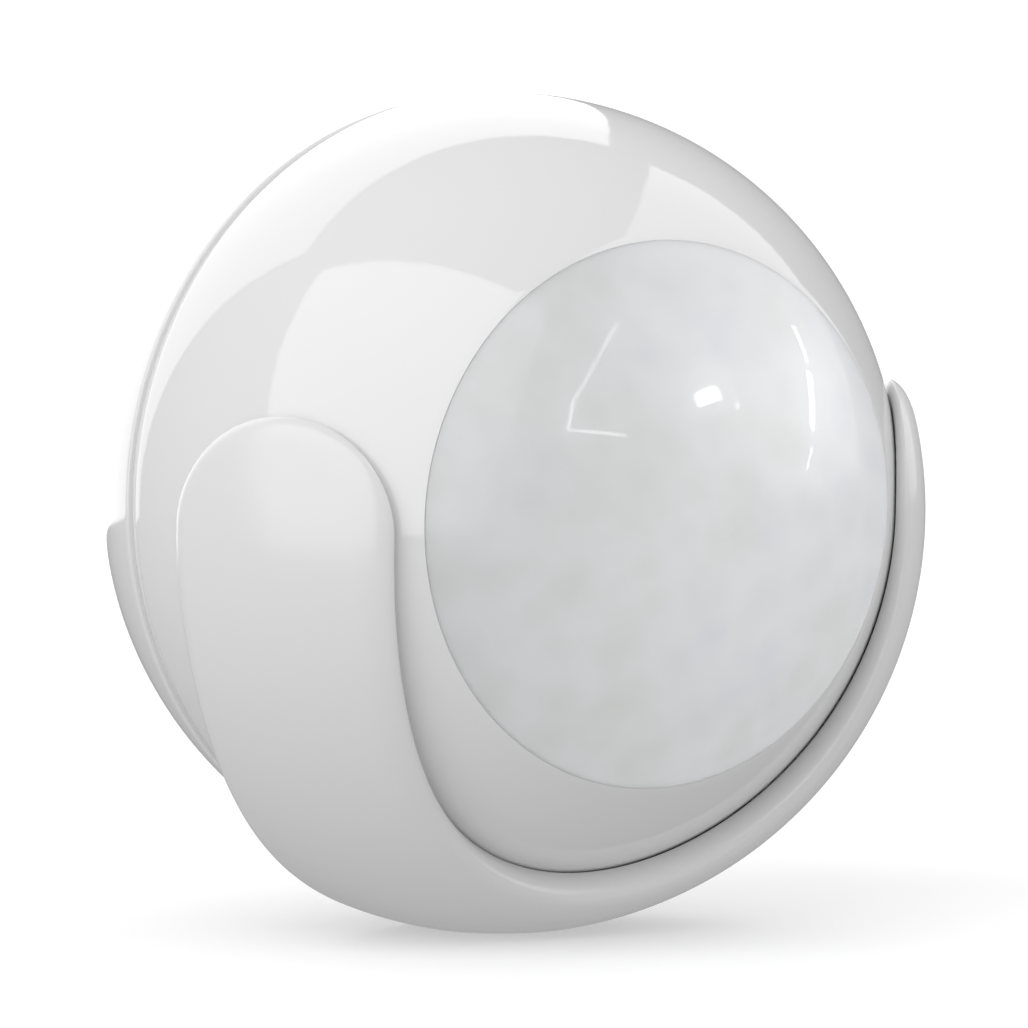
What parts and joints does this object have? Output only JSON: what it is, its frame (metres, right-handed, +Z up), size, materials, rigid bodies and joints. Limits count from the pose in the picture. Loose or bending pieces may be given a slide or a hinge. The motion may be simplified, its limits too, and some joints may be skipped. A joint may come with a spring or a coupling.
{
  "type": "motion sensor",
  "caption": "Ball-shaped infrared motion sensor with a milky domed lens, held by the arms of a saddle cradle it can tilt in.",
  "frame": {"origin": "middle of the flat fixing face under the cradle", "axes": "+Z up, away from the surface it is fixed to; the lens looks along -Y; +X to the right seen from behind the lens, across the arms"},
  "size_m": [0.053, 0.05, 0.0524],
  "materials": {
    "cradle_white": "glossy moulded plastic with soft edges",
    "shell_white": "glossy moulded plastic",
    "lens_milky": "translucent milky plastic, smooth outside, faceted inside",
    "moulding_white": "plain satin moulding",
    "foam_grey": "soft adhesive foam",
    "circuit_board": "solder mask",
    "moulding_black": "fine matt moulding",
    "nickel": "bright nickel plate",
    "steel": "zinc-plated steel",
    "capacitor_aluminium": "bare can",
    "cell_sleeve": "printed shrink sleeve, no lettering",
    "led_clear": "clear to milky resin",
    "filter_window": "dark coated filter"
  },
  "bodies": {
    "cradle": {"cradle": "cradle_white", "adhesive_pad": "foam_grey"},
    "ball": {"front_shell": "shell_white", "fresnel_lens": "lens_milky", "lens_ring": "moulding_white", "chassis": "moulding_white", "positive_contact": "nickel", "negative_blade": "nickel", "negative_spring": "nickel", "sensor_board": "circuit_board", "pir_spacer": "moulding_black", "pir_sensor": "nickel", "pir_window": "filter_window", "status_led": "led_clear", "light_sensor": "led_clear", "radio_module": "nickel", "antenna": "nickel", "microcontroller": "moulding_black", "crystal": "nickel", "accelerometer": "moulding_black", "reservoir_capacitor": "capacitor_aluminium", "switch_body": "moulding_black", "board_screw_1": "steel", "board_screw_2": "steel", "board_screw_3": "steel"},
    "rear_cover": {"rear_cover": "shell_white"},
    "cell": {"battery_cell": "cell_sleeve"},
    "button": {"button_cap": "moulding_white"}
  },
  "joints": [
    {"name": "ball_tilt", "type": "hinge", "parent": "cradle", "child": "ball", "pos_m": [0, 0, 0.02745], "axis": [-1, 0, 0], "range_deg": [-15, 45]},
    {"name": "cover_pull", "type": "slide", "parent": "ball", "child": "rear_cover", "axis": [0, 1, 0], "range_m": [0, 0.045]},
    {"name": "cell_out", "type": "slide", "parent": "ball", "child": "cell", "axis": [0, 1, 0], "range_m": [0, 0.025]},
    {"name": "button_press", "type": "slide", "parent": "ball", "child": "button", "axis": [0, -1, 0], "range_m": [0, 0.0004], "stiffness_N_per_m": 3000}
  ],
  "couplings": [
    {"joint": "cell_out", "follows": "cover_pull", "ratio": 0.55}
  ]
}
